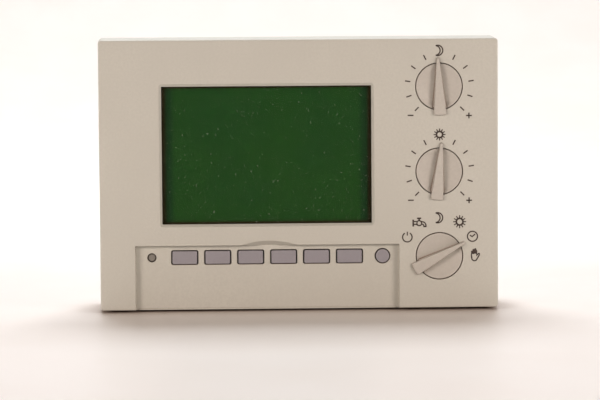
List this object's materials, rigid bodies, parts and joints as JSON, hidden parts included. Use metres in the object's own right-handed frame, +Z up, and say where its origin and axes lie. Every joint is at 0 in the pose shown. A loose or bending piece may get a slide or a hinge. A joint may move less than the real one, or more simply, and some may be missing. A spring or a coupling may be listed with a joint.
{
  "type": "wall thermostat",
  "caption": "Wall-hung room thermostat with a display, a recessed row of push keys and turning setting knobs.",
  "frame": {"origin": "middle of the wall side of the wall plate", "axes": "+Y into the wall, so the face looks along -Y; +X to the right and +Z up, as seen from the front"},
  "size_m": [0.1456, 0.0372, 0.0992],
  "materials": {
    "case": "warm grey-beige moulded plastic, slightly yellowed, fine spark-eroded grain",
    "plate": "warm grey-beige moulded plastic, plain",
    "knob": "warm grey-beige moulded plastic, smoother than the case",
    "key": "grey-lilac moulded plastic, satin",
    "reset": "darker warm grey moulded plastic",
    "ink": "dark brown pad-printed ink",
    "window": "clear plastic pane with dust and fine scratches",
    "display": "dark green display cell, switched off",
    "holder": "dark brown moulded plastic",
    "rubber": "dark grey silicone",
    "board": "green solder mask",
    "chip": "black moulded plastic",
    "plunger": "light grey moulded plastic",
    "relay": "blue glossy plastic",
    "terminal": "grey moulded plastic",
    "steel": "plain zinc-plated steel",
    "shaft": "plain turned steel"
  },
  "bodies": {
    "case": {"front_cover": "case", "rear_case": "case", "wall_plate": "plate", "locking_screw": "steel", "display_window": "window", "lcd_frame": "holder", "lcd_glass": "display", "zebra_strip_top": "rubber", "zebra_strip_bottom": "rubber", "key_switch_1": "chip", "key_switch_2": "chip", "key_switch_3": "chip", "key_switch_4": "chip", "key_switch_5": "chip", "key_switch_6": "chip", "key_switch_7": "chip", "key_switch_8": "chip", "night_potentiometer": "chip", "day_potentiometer": "chip", "mode_switch": "chip", "circuit_board": "board", "board_screw_1": "steel", "board_screw_2": "steel", "board_screw_3": "steel", "board_screw_4": "steel", "microcontroller": "chip", "crystal": "steel", "relay": "relay", "capacitor": "chip", "backup_cell": "steel", "temperature_sensor": "chip", "pin_header": "chip", "terminal_block": "terminal", "terminal_screw_1": "steel", "terminal_screw_2": "steel", "terminal_screw_3": "steel", "terminal_screw_4": "steel"},
    "knob_night": {"knob_night": "knob", "night_shaft": "shaft"},
    "knob_day": {"knob_day": "knob", "day_shaft": "shaft"},
    "knob_mode": {"knob_mode": "knob", "mode_shaft": "shaft"},
    "key_1": {"key_1": "key", "key_plunger_1": "plunger"},
    "key_2": {"key_2": "key", "key_plunger_2": "plunger"},
    "key_3": {"key_3": "key", "key_plunger_3": "plunger"},
    "key_4": {"key_4": "key", "key_plunger_4": "plunger"},
    "key_5": {"key_5": "key", "key_plunger_5": "plunger"},
    "key_6": {"key_6": "key", "key_plunger_6": "plunger"},
    "round_key": {"round_key": "key", "key_plunger_7": "plunger"},
    "reset_pin": {"reset_pin": "reset", "key_plunger_8": "plunger"}
  },
  "joints": [
    {"name": "night_turn", "type": "hinge", "parent": "case", "child": "knob_night", "pos_m": [0.0507, -0.036, 0.03145], "axis": [0, 1, 0], "range_deg": [-132.9, 137.1]},
    {"name": "day_turn", "type": "hinge", "parent": "case", "child": "knob_day", "pos_m": [0.0507, -0.036, 0.00075], "axis": [0, 1, 0], "range_deg": [-140, 130]},
    {"name": "mode_turn", "type": "hinge", "parent": "case", "child": "knob_mode", "pos_m": [0.0507, -0.036, -0.02995], "axis": [0, 1, 0], "range_deg": [-122, 28]},
    {"name": "key_1_press", "type": "slide", "parent": "case", "child": "key_1", "axis": [0, 1, 0], "range_m": [0, 0.0005], "stiffness_N_per_m": 1000},
    {"name": "key_2_press", "type": "slide", "parent": "case", "child": "key_2", "axis": [0, 1, 0], "range_m": [0, 0.0005], "stiffness_N_per_m": 1000},
    {"name": "key_3_press", "type": "slide", "parent": "case", "child": "key_3", "axis": [0, 1, 0], "range_m": [0, 0.0005], "stiffness_N_per_m": 1000},
    {"name": "key_4_press", "type": "slide", "parent": "case", "child": "key_4", "axis": [0, 1, 0], "range_m": [0, 0.0005], "stiffness_N_per_m": 1000},
    {"name": "key_5_press", "type": "slide", "parent": "case", "child": "key_5", "axis": [0, 1, 0], "range_m": [0, 0.0005], "stiffness_N_per_m": 1000},
    {"name": "key_6_press", "type": "slide", "parent": "case", "child": "key_6", "axis": [0, 1, 0], "range_m": [0, 0.0005], "stiffness_N_per_m": 1000},
    {"name": "round_key_press", "type": "slide", "parent": "case", "child": "round_key", "axis": [0, 1, 0], "range_m": [0, 0.0005], "stiffness_N_per_m": 1000},
    {"name": "reset_pin_press", "type": "slide", "parent": "case", "child": "reset_pin", "axis": [0, 1, 0], "range_m": [0, 0.0005], "stiffness_N_per_m": 1000}
  ]
}
